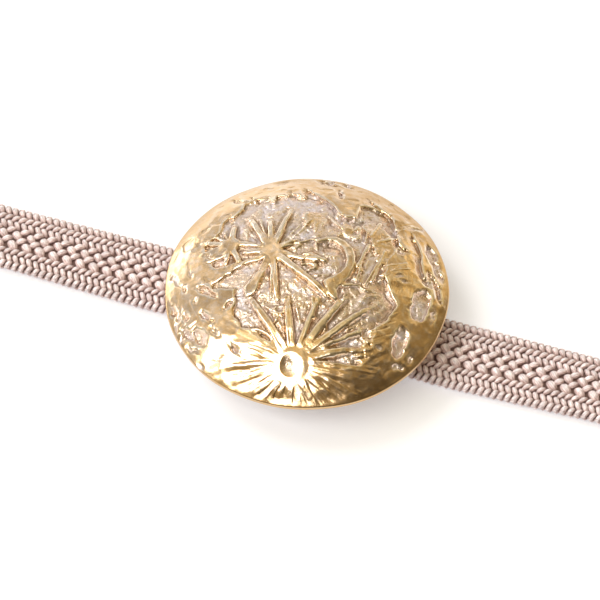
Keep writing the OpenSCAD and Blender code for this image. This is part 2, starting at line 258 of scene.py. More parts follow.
# The same for the strands on the cord's sides: side, height above its middle, lean and so on
SIDE_ROWS = rows("""
1 .22 -44 1.3 .66 .66 .95 0
-1 .1 40 1.1 .62 .66 .1 0
""")
print(len(ROWS), "rows on the top and", len(SIDE_ROWS), "on the sides")

# %% The grains in their places
# How much the columns slant on the right, where the cord bends a little
SLANT = 0.067
STRAND_INSET = 0.27
STRANDS_FROM = -44.2
STRANDS_TO = 41.2
# Mean size of a grain, and the size at which it is as wide as its row says, so that they overlap
GRAIN_SIZE = 1.14
FULL_WIDTH_SIZE = 1.08
# How far the two ends of a grain dip under its neighbours
DIP = 0.30
# The light's direction along and across the cord, for the painted highlight on the side of a grain
# that faces it
LIT_FROM = (-0.6, 0.8)

ring = section(STRAND_INSET, STRAND_INSET)
girth = ring[0][-1]
dice = np.random.default_rng(7)


def row_of_grains(at, lean, length, width, thick, start, every_second, shape):
    """A row of grains at a length round the section: points, triangles and four attributes."""
    a, c, d, faces = shape
    ends = np.interp([STRANDS_FROM, STRANDS_TO], column_x, column_count) - start
    n = np.arange(math.ceil(ends[0]), math.floor(ends[1]) + 1)
    if every_second:
        n = n[n % 2 == 0]
    size = dice.normal(GRAIN_SIZE, 0.035, len(n))
    tilt = np.radians(lean + dice.normal(0, 1.6, len(n)))
    middle = np.interp(start + n, column_count, column_x) + dice.normal(0, 0.02, len(n))
    middle += np.where(middle > 0, SLANT * (2.7 - on_section(ring, at)[0]), 0)
    rise = dice.normal(0, 0.012, len(n))
    along = np.outer(size * length / 2, a)
    across = np.outer(size * width / (2 * FULL_WIDTH_SIZE), c)
    out = np.outer(size * thick / (2 * GRAIN_SIZE), d) + rise[:, None] - DIP * a[None, :] ** 2
    x = middle[:, None] + along * np.cos(tilt)[:, None] - across * np.sin(tilt)[:, None]
    q = at + along * np.sin(tilt)[:, None] + across * np.cos(tilt)[:, None]
    y, h = on_section(ring, q % girth, out)
    points = cord_points(x.ravel(), y.ravel(), h.ravel())
    # The strands below lie flattened on the table
    points[:, 2] = np.maximum(points[:, 2], 0.01 * MM)
    every = (np.arange(len(n)) * len(a))[:, None, None] + faces[None]
    shade = np.repeat(dice.normal(1, 0.05, len(n)), len(a))
    # Painted light: lift is how high a point lies on its grain, raised on the side that faces the
    # light; the silk's colour ramp paints it as highlight on top and as shade low down
    side_a = LIT_FROM[0] * np.cos(tilt) + LIT_FROM[1] * np.sin(tilt)
    side_c = LIT_FROM[1] * np.cos(tilt) - LIT_FROM[0] * np.sin(tilt)
    painted_light_side = np.outer(side_a, a) + np.outer(side_c, c)
    lift = (np.tile(d, len(n)) + 1) / 2 - 0.03 + 0.13 * painted_light_side.ravel()
    around = np.tile(np.arctan2(d, c), len(n)) + np.repeat(n * 1.7, len(a))
    return points, every.reshape(-1, 3), shade, lift, np.tile(a, len(n)), around


def length_round(y, top=True):
    """The length round the section of the point of its top or underside that is y across."""
    half = len(ring[0]) // 4
    found = float(np.interp(abs(y), ring[1][: half + 1], ring[0][: half + 1]))
    found = found if top else girth / 2 - found
    return found if y >= 0 else girth - found


parts = []
for row in ROWS:
    parts.append(row_of_grains(length_round(row[0]), *row[1:], grain))
    parts.append(row_of_grains(length_round(row[0], top=False), -row[1], *row[2:], plain_grain))
for side, h, *row in SIDE_ROWS:
    at = girth / 4 if side > 0 else girth * 3 / 4
    parts.append(row_of_grains(at - side * h, *row, plain_grain))
print("grains:", sum(len(p[1]) for p in parts), "triangles")

# %% [markdown]
# Under the grains lies a core, the rest of the braid, coloured dark brown as painted shade between
# them.
# At both ends the braid is bound with a few turns of fine thread and sealed, so that it can't
# come undone. The core and the turns of thread are tubes, rings of points joined to each other.


# %% The core and the bound ends
def tube(ends, sections):
    """A tube through rings of points. Its ends are two points, or None where it is a loop."""
    rings, sides = sections.shape[:2]
    points = sections.reshape(-1, 3)
    j = np.arange(sides)
    k = (j + 1) % sides
    faces = []
    for r in range(rings if ends is None else rings - 1):
        p = r * sides
        n = ((r + 1) % rings) * sides
        faces.append(np.stack([p + j, p + k, n + k], -1))
        faces.append(np.stack([p + j, n + k, n + j], -1))
    if ends is not None:
        points = np.concatenate([points, ends])
        count = rings * sides
        last = count - sides
        faces.append(np.stack([np.full(sides, count), k, j], -1))
        faces.append(np.stack([np.full(sides, count + 1), last + j, last + k], -1))
    return points, np.concatenate(faces)


CORE_SIDES = 28
core_line = section(0.46, 0.42)
core_y, core_h = on_section(core_line, np.arange(CORE_SIDES) * core_line[0][-1] / CORE_SIDES)
core_x = np.concatenate([[-47, -46.9], np.arange(-46.5, 43.8, 1.5), [43.9, 44]])
round_off = np.where(np.abs(core_x + 1.5) > 45.45, 0.8, 1.0)
core_rings = [
    cord_points(np.full(CORE_SIDES, x), core_y * f, core_h * f) for x, f in zip(core_x, round_off)
]
core_ends = cord_points(core_x[[0, -1]], np.zeros(2), np.zeros(2))
core_points, core_faces = tube(core_ends, np.stack(core_rings))

# Distance between two turns of thread, and the thread's half thickness
THREAD = 0.30
THREAD_HALF = THREAD * 0.56
THREAD_SIDES = 5
BIND_POINTS = 44
bind_line = section(0.30, 0.26)
bind_at = np.arange(BIND_POINTS) * bind_line[0][-1] / BIND_POINTS
bind_turns = []
for x in [*np.arange(-46.75, STRANDS_FROM, THREAD), *np.arange(43.75, STRANDS_TO, -THREAD)]:
    loop = []
    for k in range(THREAD_SIDES):
        swing = 2 * math.pi * k / THREAD_SIDES
        y, h = on_section(bind_line, bind_at, THREAD_HALF * math.cos(swing))
        loop.append(cord_points(x + THREAD_HALF * math.sin(swing) + 0 * y, y, h))
    bind_turns.append(tube(None, np.stack(loop, 1)))
print(f"core {len(core_faces)} triangles, {len(bind_turns)} turns of thread")


# %% Join the cord into one mesh
def make_mesh(name, points, faces, attributes):
    """A smooth mesh object from points in metres, triangles and named attributes of the points."""
    mesh = bpy.data.meshes.new(name)
    mesh.vertices.add(len(points))
    mesh.vertices.foreach_set("co", np.asarray(points, np.float32).ravel())
    mesh.loops.add(len(faces) * 3)
    mesh.loops.foreach_set("vertex_index", np.asarray(faces, np.int32).ravel())
    mesh.polygons.add(len(faces))
    mesh.polygons.foreach_set("loop_start", np.arange(len(faces), dtype=np.int32) * 3)
    mesh.update(calc_edges=True)
    mesh.validate()
    mesh.shade_smooth()
    for title, values in attributes.items():
        made = mesh.attributes.new(title, "FLOAT", "POINT")
        made.data.foreach_set("value", np.asarray(values, np.float32))
    return add_object(name, mesh)


# The cut ends are sealed silk, as pale as the strands; the rest of the core is painted dark, as the
# shadow of the strands over it
sealed = (np.abs(core_points[:, 0] / MM + 1.5) > 45.3) * 1.0
flat = np.zeros(len(core_points))
parts.append((core_points, core_faces, 0.62 + 0.33 * sealed, 0.72 * sealed, flat, flat))
for points, faces in bind_turns:
    flat = np.zeros(len(points))
    parts.append((points, faces, flat + 1, flat + 0.8, np.linspace(0, 40, len(flat)), flat))
starts = np.cumsum([0] + [len(p[0]) for p in parts])
points, faces, *values = zip(*parts)
cord = make_mesh(
    "flat_cord_braid",
    np.concatenate(points),
    np.concatenate([f + s for f, s in zip(faces, starts)]),
    {title: np.concatenate(v) for title, v in zip(("shade", "lift", "along", "around"), values)},
)
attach(cord, "root")
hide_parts("flat_cord")
print(f"the cord has {len(cord.data.polygons)} triangles")

# %% [markdown]
# A finish is a small sum: a colour here, more shine there, a little grain in the light. One
# small class wraps the output of a node, so that two outputs can be added or multiplied as
# numbers are, and each sum adds its own Math node. Any other node comes from one method that
# takes its type, its settings and its inputs, and those used most have a method of their own.


# %% A helper for finishes
class Value:
    """The output socket of a node, which can be used in Python sums."""

    def __init__(self, nodes, socket):
        self.nodes = nodes
        self.socket = socket

    def sum(self, operation, first, second):
        return self.nodes.node("ShaderNodeMath", {"operation": operation}, {0: first, 1: second})

    def __add__(self, other):
        return self.sum("ADD", self, other)

    def __radd__(self, other):
        return self.sum("ADD", other, self)

    def __sub__(self, other):
        return self.sum("SUBTRACT", self, other)

    def __rsub__(self, other):
        return self.sum("SUBTRACT", other, self)

    def __mul__(self, other):
        return self.sum("MULTIPLY", self, other)

    def within(self, low, high, kind="SMOOTHSTEP"):
        """This value moved from the range low to high onto 0 to 1, and kept inside it."""
        settings = {"clamp": True, "interpolation_type": kind}
        given = {"Value": self, "From Min": low, "From Max": high}
        return self.nodes.node("ShaderNodeMapRange", settings, given)


class Nodes:
    """The nodes of a material or of the world around the scene."""

    def __init__(self, tree):
        self.tree = tree

    def link(self, value, socket):
        """Puts a value into a socket, whether it is the output of a node, a colour or a number."""
        if isinstance(value, Value):
            self.tree.links.new(value.socket, socket)
        elif isinstance(value, tuple) and socket.type == "RGBA":
            socket.default_value = (*value, 1)
        else:
            socket.default_value = value

    def node(self, kind, settings, given, out=0):
        """A node of that kind: its settings first, then the values or links of its sockets."""
        made = self.tree.nodes.new(kind)
        for title, value in settings.items():
            setattr(made, title, value)
        for title, value in given.items():
            self.link(value, made.inputs[title])
        return Value(self, made.outputs[out])

    def ramp(self, value, stops):
        """The colour that a ramp of (place, colour) pairs has at that value."""
        made = self.node("ShaderNodeValToRGB", {}, {"Fac": value})
        elements = made.socket.node.color_ramp.elements
        while len(elements) < len(stops):
            elements.new(0.5)
        for element, (place, colour) in zip(elements, stops):
            element.position = place
            element.color = (*colour, 1)
        return made

    def blend(self, share, first, second):
        """A colour between two, by share."""
        given = {0: share, 6: first, 7: second}
        return self.node("ShaderNodeMix", {"data_type": "RGBA"}, given, 2)

    def place(self, kind="Object"):
        return self.node("ShaderNodeTexCoord", {}, {}, kind)

    def along(self, place, direction):
        """How far a place lies in a direction."""
        given = {0: place, 1: direction}
        return self.node("ShaderNodeVectorMath", {"operation": "DOT_PRODUCT"}, given, "Value")

    def noise(self, where, scale, detail=2.0, rough=0.6):
        """Noise from 0 to 1, with that many lumps to each unit of length."""
        given = {"Vector": where, "Scale": scale, "Detail": detail, "Roughness": rough}
        return self.node("ShaderNodeTexNoise", {}, given)


class Finish(Nodes):
    """A material with a Principled shader, and the nodes that feed it."""

    def __init__(self, name):
        self.material = bpy.data.materials.new(name)
        self.material.use_nodes = True
        super().__init__(self.material.node_tree)

    def attribute(self, name):
        return self.node("ShaderNodeAttribute", {"attribute_name": name}, {}, "Fac")

    def specks(self, size, detail=2.0, rough=0.6, where=None):
        """Noise whose lumps are about size mm across."""
        return self.noise(where or self.place(), 1 / (size * MM), detail, rough)

    def feed(self, **inputs):
        """Puts values into the shader's sockets, named with _ for a space."""
        shader = self.tree.nodes["Principled BSDF"]
        for title, value in inputs.items():
            self.link(value, shader.inputs[title.replace("_", " ")])

    def bump(self, height, depth, strength=1.0):
        """A Normal from a height, whose full range is depth mm."""
        given = {"Height": height, "Distance": depth * MM, "Strength": strength}
        return self.node("ShaderNodeBump", {}, given)


print("helper ready")

# %% [markdown]
# The cord is silk dyed a dusty pink, with the soft gloss of many fine filaments. Its colour has
# light and shade painted in: a painted highlight along the back of each grain and on its side
# towards the light, and painted shade falling to brown where it dips between its neighbours. The
# mesh carries how high each point lies on its grain, raised on the side that faces the light, so
# the colour can follow it, and how far along and round the grain it is, so that stretched noise
# can draw the filaments as fine lines.

# %% Silk finish
# Painted light and shade on the silk, by lift: dark brown low between the grains, pale pink on
# their tops
SILK_SHADE_TO_HIGHLIGHT = [
    (0.0, (0.15, 0.045, 0.025)),
    (0.42, (0.31, 0.12, 0.08)),
    (0.66, (0.62, 0.40, 0.375)),
    (0.82, (0.88, 0.685, 0.69)),
    (0.97, (1.0, 0.935, 0.98)),
]
PALE_FILAMENT = (1.0, 0.94, 0.95)

silk = Finish("silk_braid")
lift = silk.attribute("lift")
shade = silk.attribute("shade")
# The shade differs from grain to grain, so it gives each grain filaments of its own
measures = {0: silk.attribute("along") * 0.7, 1: silk.attribute("around") * 2.2, 2: shade * 9.0}
filaments = silk.noise(silk.node("ShaderNodeCombineXYZ", {}, measures), 2.0).within(0.40, 0.60)
# The silk colour takes its painted highlight and shade from lift
pale = silk.blend(filaments * 0.4, silk.ramp(lift, SILK_SHADE_TO_HIGHLIGHT), PALE_FILAMENT)
toned = {"Color": pale, "Value": shade * 0.76 + filaments * 0.48 - 0.04}
silk.feed(
    IOR=1.5,
    Base_Color=silk.node("ShaderNodeHueSaturation", {}, toned),
    Roughness=0.36 - filaments * 0.10,
    Normal=silk.bump(filaments, 0.03),
    Coat_Weight=lift.within(0.5, 0.95) * 0.5,
    Coat_Roughness=0.20,
    Sheen_Weight=0.10,
    Sheen_Roughness=0.35,
    Sheen_Tint=(1.0, 0.93, 0.90),
)
cord.data.materials.append(silk.material)
print("silk finish has", len(silk.tree.nodes), "nodes")

# %% [markdown]
# The medallion is a moon in low relief. The land near the limb and the ridges stand high and are
# polished; the seas are rough and lie half a millimetre lower. The relief is charted on a disc
# of radius 18 mm seen from above: u runs to the right and v to the moon's north. The solid model
# comes from a plainer form of this chart. Tables are easier to set against a photograph than a
# sculpted mesh, because each line is one thing that can be seen on the moon.

# %% Chart of the rayed craters
# u, v and radius of each crater's smooth platform, the width of the slope round it, its height,
# and how much it rises for each mm to the west
STARS = rows("""
-4.45 2.2 1.4 .8 .11 .06
-9.65 4.25 1.15 .7 .11 .08
-1.75 -13.3 2.05 1.2 .02 -.05
""")
# star, bearing, length, half width at the star, half width at the tip, lift at the tip
RAYS = rows("""
0 113 7.2 .42 .26 1
0 104 6.2 .18 .09 .8
0 92 5.7 .38 .26 1
0 84 4.6 .14 .08 .7
0 72 7.8 .4 .24 1
0 64 4.2 .12 .07 .6
0 29 3.8 .4 .16 .9
0 18 3.3 .18 .08 .7
0 -44 9.7 .46 .28 1
0 -52 3.6 .2 .1 .7
0 -66 2.4 .16 .08 .6
0 -84 7.3 .44 .22 .9
0 -90 7 .14 .08 .6
0 173 3.9 .42 .22 .9
0 200 3 .16 .08 .7
1 82 3.9 .38 .26 1
1 106 2.8 .14 .08 .7
1 130 3.2 .28 .12 .9
1 154 3.8 .36 .16 .9
1 192 3.4 .55 .42 .9
1 257 3.5 .38 .24 .9
1 291 3.7 .38 .24 .9
2 120.5 10.8 .54 .28 1
2 95 8.4 .52 .32 .95
2 69.5 9 .42 .24 .8
2 53.5 11.2 .56 .3 .85
2 39 13.6 .46 .26 .75
2 28 10.4 .34 .18 .65
2 17 8.2 .54 .26 .8
2 0 10.8 .4 .26 .8
2 -10 8.6 .44 .24 .8
2 -22 7 .36 .24 .8
2 -36 5.2 .4 .26 .9
2 -60 4 .44 .3 .9
2 -96 3.9 .44 .28 .9
2 -116 3.6 .26 .16 .8
2 228 4.8 .6 .4 .9
2 206 7.2 .6 .4 .9
2 188 8.4 .4 .26 .8
2 175 9 .28 .14 .9
2 160 6.4 .36 .2 .95
2 151 5 .22 .14 .8
""")
# Bowl of the southern crater: u, v, radius of its lip, depth, height of the lip
BOWL = [-1.97, -13.35, 1.45, 0.46, 0.02]
print(len(STARS), "rayed craters,", len(RAYS), "rays")

# %% Chart of the lands
# bearing and radius where the land round the limb begins
SHORE = rows("""
-180 13
-170 12.2
-166 10.5
-162 9.3
-157 9.8
-151 10.4
-142 11.1
-136 11.4
-131 11.1
-127 11.3
-118 11.5
-108 11.3
-96 11.6
-84 12.8
-74 14
-64 14.5
-54 14
-48 12.2
-43 11.6
-33 12.1
-22 11.9
-15 10.5
-4 9.4
8 10.2
20 11.8
28 13.2
36 13.6
44 15.1
52 14.4
58 13.6
64 9.9
70 10.6
78 11.9
88 13
100 13.4
111 13.9
122 14.6
130 13.6
140 13.6
150 13
158 13.7
166 12.8
180 13
""")
# lift, then u, v and half width along the middle of each land inside the shore
LANDS = rows("""
1  5.2 13 1.5  5.5 10.8 1.15  5.5 9.4 1
1  -8.7 12.4 .8  -8.8 11.2 .75  -9.3 10 .5
1  -6.5 14 .5  -6.5 12.7 .3
1  -4.4 14 .8  -4.4 12.1 .35
1  -2.5 14.2 .6  -2.4 13.2 .3
1  -.4 13.8 .5  -.2 12.6 .25
.9  2.2 12.6 .5  2.9 11.7 .3
.8  -12.3 7.9 .9  -11.6 9.4 .8  -10.6 10.2 .4
.75  5.2 7.5 .7  5.2 5.9 .8  6.3 5 .5  6.6 6.8 .5
.8  2.9 8.5 .22  3.7 7.4 .28  4.3 6.6 .25
.5  .6 8.4 1  2 8.6 .9  1.4 6.2 .5
.6  8.4 7.2 1.2  9.6 5.2 1.7  10.2 2.5 1.5
.85  -1.6 3.4 .1  .4 3.95 .12  1.5 4.15 .2
.95  -10.5 3 .45  -11.9 3.1 .8  -13.4 3.3 1.2
.9  -3.2 1.9 .4  -1.8 1.35 .26  -.5 1 .22  .9 .9 .3  2.2 .6 .42
.8  -.5 1.6 .14  .6 1.5 .25  1.8 .9 .3
.6  -.6 0 .14  .3 .05 .12  1.3 -.25 .16  1 -.8 .14  .1 -.95 .12
.5  0 -1.25 .12  1.2 -1.95 .15  2.6 -1.6 .15
1  3 -2.9 .75  3.2 -4 .6  3.6 -4.8 .3
.8  4.6 -2.6 .4  5.5 -2.7 .25  7.2 -3 .15
1  -4.9 .9 .6  -5.7 -.8 .5  -6.3 -2.2 .62  -7 -3.1 .95
.95  -5.4 1.6 .4  -8 .85 .32  -9.5 0 .32  -12.2 -1.3 .3
.95  -5.7 3.3 .35  -7.2 3.6 .22  -9 4.3 .35
.95  -9.2 .8 .5  -10.6 .3 .75  -11.9 -.1 .95  -12.8 1.2 1
""")
# The hook east of the large star, in the same way, but with a steadier edge than the rest
HOOK_LIFT = 0.96
HOOK = rows("""
1.35 2.5 .1
1.15 3.2 .16
1.7 3.85 .22
2.7 4.25 .33
3.7 4.2 .44
4.55 3.65 .52
5.2 2.75 .56
5.5 1.7 .58
5.5 .6 .58
5.2 -.5 .6
4.7 -1.5 .66
3.9 -2.35 .8
3.3 -3.1 .7
""")
# u and v at one end, u and v at the other end, half width, lift
RIDGES = rows("""
6.3 -2 6.9 1 .14 .7
6.4 .2 7.9 3.9 .24 .8
7.4 -2.4 8.8 .9 .16 .8
8.2 -1.8 9.9 3.3 .22 .8
9.3 -1.4 11.6 1.2 .18 1.1
10.2 .9 12.6 2.1 .2 1.15
10.4 .1 13 1.4 .18 1.15
9 4.6 11.4 6.2 .25 .9
8.2 5.6 9.4 8.4 .25 .85
7.4 4.2 7.9 7.6 .14 .7
-.4 6.3 .6 7.6 .12 .6
-2 5.2 -1 6.5 .12 .5
-1.4 4.9 -.2 6.2 .12 .5
-5.6 -5.5 -3.6 -6.9 .14 .5
-4.6 -6.6 -3 -7.4 .14 .5
-4.3 -8.2 -2.7 -6.4 .14 .5
-1.3 -6.4 -.8 -8.2 .16 .5
.7 -5 .9 -7.6 .2 .7
2.9 -6.2 2.1 -9.6 .2 .7
-8.6 -5.6 -7 -6.6 .14 .4
-16.35 -7 -16.1 -3.2 .16 1
-16.3 -6.9 -15.6 -3.9 .12 1
-16.2 -6.8 -14.5 -5.9 .16 1
-15.7 -4.3 -14.2 -4.9 .16 1
-15.8 -8.7 -13.7 -9.8 .16 1
""")
print(len(LANDS), "lands and", len(RIDGES), "ridges inside the shore")

# %% Chart of the pits and rimmed craters
# u, v, half length, half width, bearing of the length, depth
PITS = rows("""
11.6 -9.25 1.95 .76 68 .62
11.3 -12.2 .8 .46 25 .28
12.95 -10.8 .6 .16 62 .3
-13.3 -8 1.25 .55 -58 .45
-13.35 -11.7 .5 .3 -60 .3
-14 -3 .36 .2 90 .3
-12.6 -2.1 1.6 .4 -44 .6
-12.7 -5.5 .75 .32 -50 .3
-8.9 -10.6 1.15 .26 -55 .3
-15.4 -.7 .45 .25 110 .3
-16.6 1.2 1.2 .25 -68 .35
-14.8 1.4 .5 .14 95 .3
-11 1.8 .75 .34 22 .4
-12.3 3.1 .45 .16 -35 .35
-15.3 -4.75 .65 .36 -60 .45
-14.9 -7.2 1.2 .34 -50 .4
-17 -3 1.3 .18 -72 .4
-16.25 -5.3 1.4 .2 83 .4
-15.5 -7.55 .85 .16 42 .4
-14.5 -9.1 .8 .28 -35 .4
4.4 13.4 .8 .3 90 .45
5.6 8.35 .5 .42 0 .5
1.4 6.1 .6 .2 80 .3
3.1 16.8 .7 .4 90 .3
5.3 16.6 .7 .25 95 .3
11.9 3.8 .45 .35 0 .35
8.7 2.4 .4 .3 60 .35
6.2 5.7 .35 .25 30 .3
15.85 5.3 1.5 .55 97 .45
16.6 3 1.6 .45 100 .3
15.6 .1 .8 .5 30 .4
14.35 -3.5 2.55 1.1 73 .5
15.95 -4.2 1.1 .22 78 .3
16.6 -.6 .9 .2 100 .3
14 9.3 1.35 .28 30 .35
11.6 -.1 .45 .26 20 .22
12.3 -.7 .45 .24 10 .22
-9.7 -4.8 .6 .26 40 .6
4.2 -4.2 .8 .18 95 .35
9 -10.6 .5 .3 30 .3
7.4 -8.9 .4 .3 60 .3
""")
# u, v, half length, half width, bearing, half width of the rim, lift
RIMMED = rows("""
-5.85 -9.95 1.75 .95 -35 .17 .9
11.2 -.4 .75 .5 20 .12 1.1
11.9 3.8 .75 .6 0 .14 1
-2.5 -.1 .6 .45 0 .1 .35
-3.6 -6.4 .8 .5 20 .12 .45
""")
# Steep walls: height, how far the low ground reaches, then u and v along the top of the wall.
# The low ground is on the left hand of one who walks from the first point to the last.
WALLS = rows("""
.47 1  3.9 8.7  3.9 9.7  3.3 10.9  2.2 12.1  .8 13.6
.4 .7  6.6 8.3  5.7 8.1  4.9 8.6
.43 .9  11.4 8.2  11 9.7  10.2 11  8.9 12.4
.42 .7  12.4 4.8  11.7 5.4  11.5 6.6  11 8
.46 .9  14.95 .9  14.65 1.9  14.5 3.2  14.65 4.4  14.35 5.6  13.8 7
.4 .5  16.7 .6  16.1 1.6  14.9 1
.48 1.1  9 -7.4  10.1 -6.4  10.9 -5.3  11.2 -4.1  10.7 -3.2  10.25 -1.9
.46 .6  16.95 -1.6  16.8 -.4  16.5 .8  15.9 1.6
.42 .9  3.2 -1.85  4.2 -1.25  4.8 -.4  5 .5  5 1.4  4.8 2.2  4.35 2.95  3.7 3.45  2.9 3.65  2.3 3.55
.4 .6  3.4 7.2  3 8.6
.35 .5  -11.9 -6.1  -12.7 -5.1
.3 .5  -11 -8.2  -11.6 -7.4
.35 .6  3.5 16.6  2.6 17.2
.35 .6  5.7 16.3  5.2 17
.35 .6  4.6 13  4.4 14.2
.3 .6  -8 13  -8.9 13.6
.3 .6  -5.8 12.6  -6.6 13.2
.3 .6  -1 12.6  -1.6 13.6
.35 .7  -13 -2.4  -12.2 -3
""")
# Thin lines cut or raised by hand: u and v at both ends, half width, height
LINES = rows("""
-8.6 -12.2 -5.3 -12.5 .1 -.14
-10.5 -12.5 -4.4 -13.1 .05 .1
-9.7 -13 -6.6 -13.5 .06 -.12
-9.4 -13.6 -7.6 -14 .06 -.12
-7.8 -13.9 -5 -13.8 .06 .1
-8.6 -15.3 -4.2 -13.9 .07 .12
-7.8 -15.7 -3.9 -14.3 .12 -.16
-6.4 -16.5 -3.8 -14.9 .1 -.16
-5.3 -16.8 -3.3 -15.1 .08 .14
-4.2 -16.8 -2.8 -15.2 .1 -.16
-8 -10.4 -5.3 -12.2 .1 .14
-7.4 -10.2 -4 -12 .08 -.12
-11.9 -11.1 -10.1 -11.7 .06 .1
-16.4 -6.8 -13.7 -5.6 .1 .16
-16.7 -5 -15.9 -3 .08 .14
-16.4 -6.8 -15.8 -3.2 .06 .14
-16 -6.6 -14.4 -4.6 .06 .14
-15.8 -8.1 -13.8 -6.5 .08 -.2
-15.7 -8.3 -13.3 -9.5 .08 .16
-14.8 -2.6 -13.7 -5.4 .08 .12
7.6 -8.9 10.4 -7.6 .12 -.12
8 -9.8 11 -8.2 .12 -.12
8.6 -7.4 11.6 -5.4 .14 .12
8.4 -8.3 11.2 -6.6 .12 -.12
11.3 7.4 13.6 9.4 .14 .16
11.8 8.6 13.9 10.2 .12 -.16
""")
print(len(PITS), "pits,", len(RIMMED), "rimmed craters,", len(WALLS), "walls,", len(LINES), "lines")

# %% [markdown]
# The chart becomes a height at each point. A ridge or a land is 1 inside its half width and falls
# to 0 over a narrow shore, and where several meet, the highest wins, as with strips of wax
# laid on each other. Lines from a table look ruled, so a place is first moved a little by noise:
# seeded random numbers on a grid, blended smoothly. The same noise makes the rough ground.

# %% Noise and simple shapes
RADIUS = 18.0


def smooth(t):
    t = np.clip(t, 0, 1)
    return t * t * (3 - 2 * t)


def bell(distance, width):
    """1 at distance 0, falling away on both sides over about that width."""
    return np.exp(-((distance / width) ** 2))


def inside(distance, half_width, soft=0.36):
    """1 inside the half width, falling to 0 over a slope that is soft mm wide."""
    return smooth((half_width + soft / 2 - distance) / soft)


def lumps(u, v, size, seed):
    """Smooth noise from -1 to 1, with lumps about size across."""
    table = np.random.default_rng(seed).uniform(-1, 1, (64, 64))
    a = u / size + 500
    b = v / size + 500
    i = np.floor(a).astype(int)
    j = np.floor(b).astype(int)
    s = smooth(a - i)
    t = smooth(b - j)
    low = table[i % 64, j % 64] * (1 - s) + table[(i + 1) % 64, j % 64] * s
    high = table[i % 64, (j + 1) % 64] * (1 - s) + table[(i + 1) % 64, (j + 1) % 64] * s
    return low * (1 - t) + high * t


def ridged(u, v, size, seed):
    """Noise with sharp ridges, 1 along them and lower between them."""
    return 1 - 2.4 * np.abs(lumps(u, v, size, seed))


def shaken(u, v, *waves):
    """A place moved by noise. Each wave has an amount, a size, a seed for u and a seed for v."""
    su, sv = u, v
    for amount, size, seed_u, seed_v in waves:
        su = su + amount * lumps(u, v, size, seed_u)
        sv = sv + amount * lumps(u, v, size, seed_v)
    return su, sv


def to_line(u, v, a, b):
    """Distance to the line from a to b, and how far along it the nearest point is."""
    du = b[0] - a[0]
    dv = b[1] - a[1]
    t = np.clip(((u - a[0]) * du + (v - a[1]) * dv) / (du * du + dv * dv), 0, 1)
    return np.hypot(u - a[0] - t * du, v - a[1] - t * dv), t


def to_oval(u, v, oval):
    """Distance outside an oval, roughly, in the direction of its half width."""
    c = math.cos(math.radians(oval[4]))
    s = math.sin(math.radians(oval[4]))
    along = (u - oval[0]) * c + (v - oval[1]) * s
    across = (v - oval[1]) * c - (u - oval[0]) * s
    return (np.hypot(along / oval[2], across / oval[3]) - 1) * oval[3]


print("ridged noise at six places:", np.round(ridged(np.arange(6.0), np.zeros(6), 0.7, 1), 1))


# %% Where the polished land is
def in_band(u, v, line, soft):
    """1 inside a band along a line of points, each with its own half width."""
    found = np.zeros_like(u)
    line = np.reshape(line, (-1, 3))
    for a, b in zip(line[:-1], line[1:]):
        d, t = to_line(u, v, a, b)
        half = a[2] + t * (b[2] - a[2])
        found = np.maximum(found, inside(d, half + 0.05, soft))
    return found


def streaks(u, v):
    """Narrow raised rays without the platforms they start from, and the grooves beside them."""
    su, sv = shaken(u, v, (0.05, 0.8, 15, 16))
    found = np.zeros_like(u)
    groove = np.zeros_like(u)
    for star, bearing, length, wide, narrow, tip in RAYS:
        cu, cv = STARS[int(star)][:2]
        angle = math.radians(bearing)
        end = (cu + length * math.cos(angle), cv + length * math.sin(angle))
        d, t = to_line(su, sv, (cu, cv), end)
        half = (wide + t * (narrow - wide)) * 1.15 + 0.05
        high = (1 + t * (tip - 1)) * (1 - 0.6 * smooth((t - 0.75) / 0.25))
        found = np.maximum(found, high * inside(d, half))
        groove = np.maximum(groove, high * bell(d - half - 0.30, 0.18))
    return found, groove


def land_share(u, v):
    """1 on polished land and ridges, 0 on rough ground."""
    wu, wv = shaken(u, v, (0.26, 1.5, 11, 13), (0.10, 0.6, 12, 14))
    shore = np.array(SHORE)
    shore_r = np.interp(np.degrees(np.arctan2(wv, wu)), shore[:, 0], shore[:, 1])
    share = inside(shore_r - np.hypot(wu, wv), 0, 0.7)
    for lift, *line in LANDS:
        share = np.maximum(share, lift * in_band(wu, wv, line, 0.50))
    share = np.maximum(share, streaks(u, v)[0])
    su, sv = shaken(u, v, (0.06, 0.8, 15, 16))
    share = np.maximum(share, HOOK_LIFT * in_band(su, sv, HOOK, 0.45))
    for cu, cv, platform, slope, *_ in STARS:
        reach = platform + slope * 0.64 - np.hypot(su - cu, sv - cv)
        share = np.maximum(share, smooth(reach / slope))
    for u0, v0, u1, v1, wide, lift in RIDGES:
        d, _ = to_line(su, sv, (u0, v0), (u1, v1))
        share = np.maximum(share, lift * inside(d, wide + 0.03))
    for rim in RIMMED:
        share = np.maximum(share, rim[6] * inside(np.abs(to_oval(u, v, rim)), rim[5]))
    return share


print("land on the limb and on the sea:", land_share(np.array([0.0, 0.0]), np.array([-17.0, 8.0])))

# %% [markdown]
# The height is added up in layers: the rough ground with its long swell, scratches that fan out
# from the stars, the rays with a groove along both sides, thin lines cut by hand, steep walls,
# pits, and last the smooth platforms of the stars and the bowl of the southern one. Each layer
# is strong only where the photograph shows it, such as the brushed land in the east.

# %% Layers of the relief
GROUND_DEPTH = 0.42
RAY_HEIGHT = 0.12
GROOVE_DEPTH = 0.13


